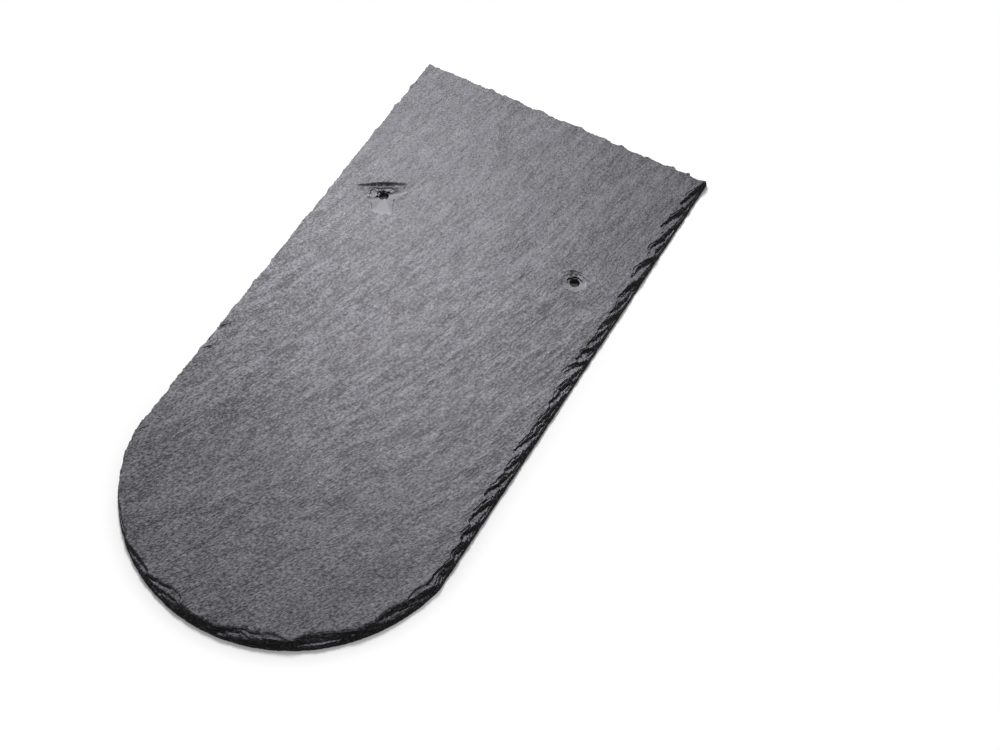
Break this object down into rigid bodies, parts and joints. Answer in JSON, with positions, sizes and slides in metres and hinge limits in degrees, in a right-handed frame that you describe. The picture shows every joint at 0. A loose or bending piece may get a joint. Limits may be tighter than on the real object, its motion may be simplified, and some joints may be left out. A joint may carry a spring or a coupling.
{
  "type": "slate roof tile",
  "caption": "Round-tailed roof slate, riven on its face and dressed to a flaked sloping edge, with a pair of punched nail holes below its square head.",
  "frame": {"origin": "middle of the bed, the flat underside that the tile lies on", "axes": "+Y along the tile from its round tail to its nailed head, +Z out of the weathered face, +X across the tile"},
  "size_m": [0.2, 0.4, 0.006],
  "materials": {
    "slate": "riven, matt"
  },
  "bodies": {
    "root": {"slate_tile": "slate"}
  },
  "joints": []
}
